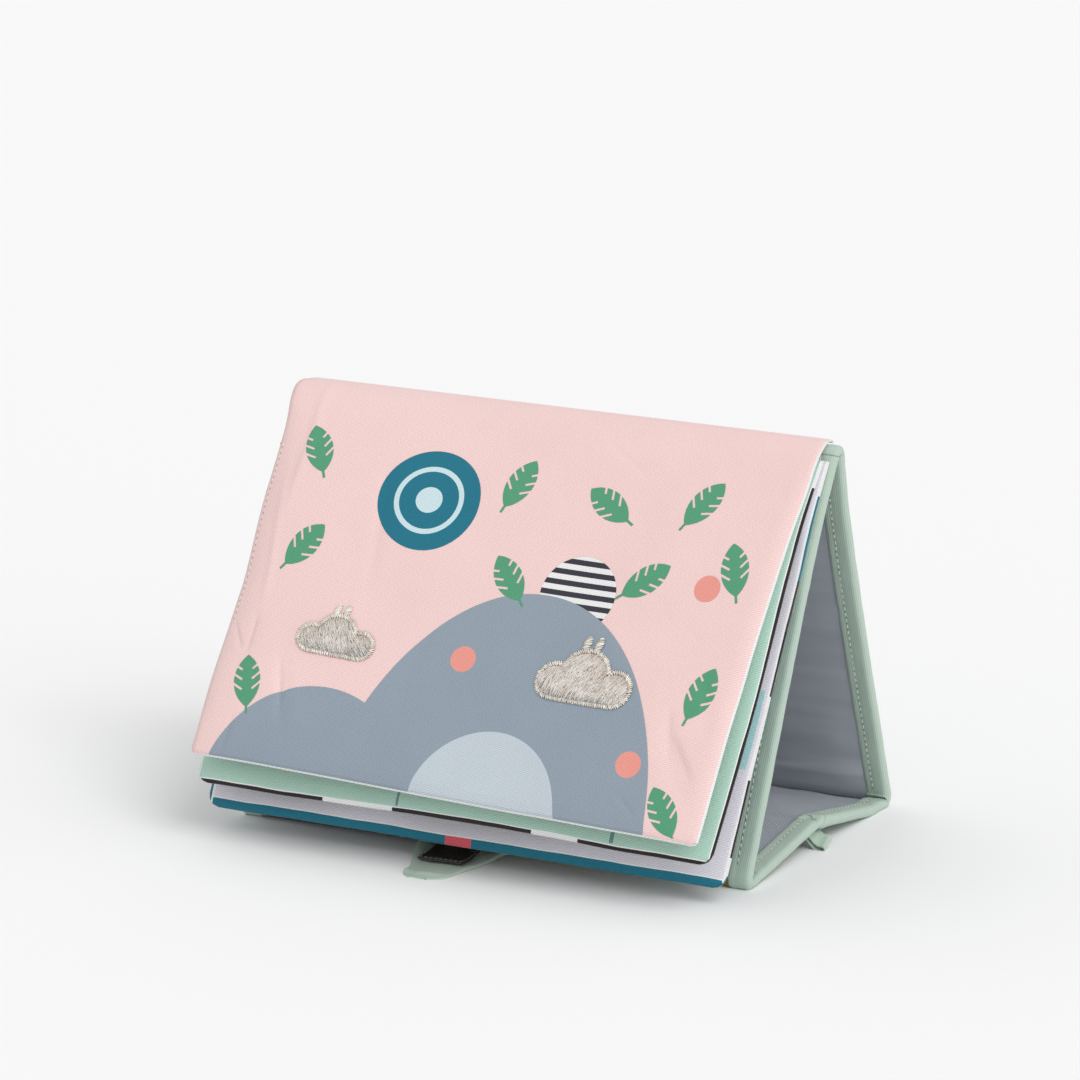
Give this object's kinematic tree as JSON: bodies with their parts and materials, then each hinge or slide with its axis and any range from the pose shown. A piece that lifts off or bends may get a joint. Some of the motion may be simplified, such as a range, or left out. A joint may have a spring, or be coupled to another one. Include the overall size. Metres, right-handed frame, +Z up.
{
  "type": "tummy time book",
  "caption": "Sewn cloth flip book on a padded folding tent stand, with a printed cover leaf, plush cloud patches, pages, a closure tab and bound edges.",
  "frame": {"origin": "on the table, under the middle of the whole outline, on the book's own middle plane in X", "axes": "+X along the ridge to the right seen from the leaves' side, -Y towards the side the leaves hang on, +Z up"},
  "size_m": [0.253, 0.1952, 0.1827],
  "materials": {
    "sage_cloth": "matt woven polyester",
    "slate_lining": "soft sheen twill lining",
    "olive_cloth": "matt woven polyester",
    "board": "plain stiffening board",
    "charcoal_print": "printed cloth",
    "lilac_cloth": "printed cloth",
    "mint_print": "printed cloth",
    "teal_print": "printed cloth",
    "coral_print": "printed cloth",
    "aqua_print": "printed cloth",
    "hook_tape": "hook tape",
    "pink_cloth": "fine printed twill",
    "wadding": "soft wadding",
    "pale_cloth": "plain woven cloth",
    "hill_print": "printed cloth",
    "pale_blue_print": "printed cloth",
    "white_print": "printed cloth",
    "green_print": "printed cloth",
    "salmon_print": "printed cloth",
    "cream_plush": "short pile plush",
    "satin_stitch": "embroidery thread"
  },
  "bodies": {
    "front": {"front_board": "board", "front_cloth": "olive_cloth", "front_band_print": "charcoal_print", "front_lining": "slate_lining", "front_binding_left": "sage_cloth", "front_binding_right": "sage_cloth", "base_pad": "slate_lining", "base_binding_left": "sage_cloth", "base_binding_right": "sage_cloth", "ridge_cloth": "sage_cloth", "ridge_binding_left": "sage_cloth", "ridge_binding_right": "sage_cloth", "pages": "lilac_cloth", "page_face_print": "mint_print", "page_black_print": "charcoal_print", "page_teal_print": "teal_print", "page_coral_print": "coral_print", "page_aqua_print": "aqua_print", "closure_tab": "sage_cloth", "hook_patch": "hook_tape", "pull_tab": "sage_cloth", "cover_strip": "pink_cloth"},
    "back": {"back_board": "board", "back_cloth": "sage_cloth", "back_lining": "slate_lining", "back_binding_left": "sage_cloth", "back_binding_right": "sage_cloth"},
    "cover": {"cover_front_cloth": "pink_cloth", "cover_wadding": "wadding", "cover_back_cloth": "pale_cloth", "hill_print": "hill_print", "pond_print": "pale_blue_print", "sun_print": "teal_print", "sun_ring_print": "pale_blue_print", "moon_print": "white_print", "moon_stripe_print": "charcoal_print", "sprig_print": "green_print", "dot_print": "salmon_print", "large_cloud_plush": "cream_plush", "large_cloud_stitch": "satin_stitch", "small_cloud_plush": "cream_plush", "small_cloud_stitch": "satin_stitch"}
  },
  "joints": [
    {"name": "stand_fold", "type": "hinge", "parent": "front", "child": "back", "pos_m": [0, 0.02407, 0.1765], "axis": [-1, 0, 0], "range_deg": [0, 37], "deforming": ["base_pad", "base_binding_left", "base_binding_right", "pull_tab", "ridge_cloth", "ridge_binding_left", "ridge_binding_right"]},
    {"name": "cover_turn", "type": "hinge", "parent": "front", "child": "cover", "pos_m": [0, 0.01293, 0.18096], "axis": [-1, 0, 0], "range_deg": [0, 210]}
  ]
}
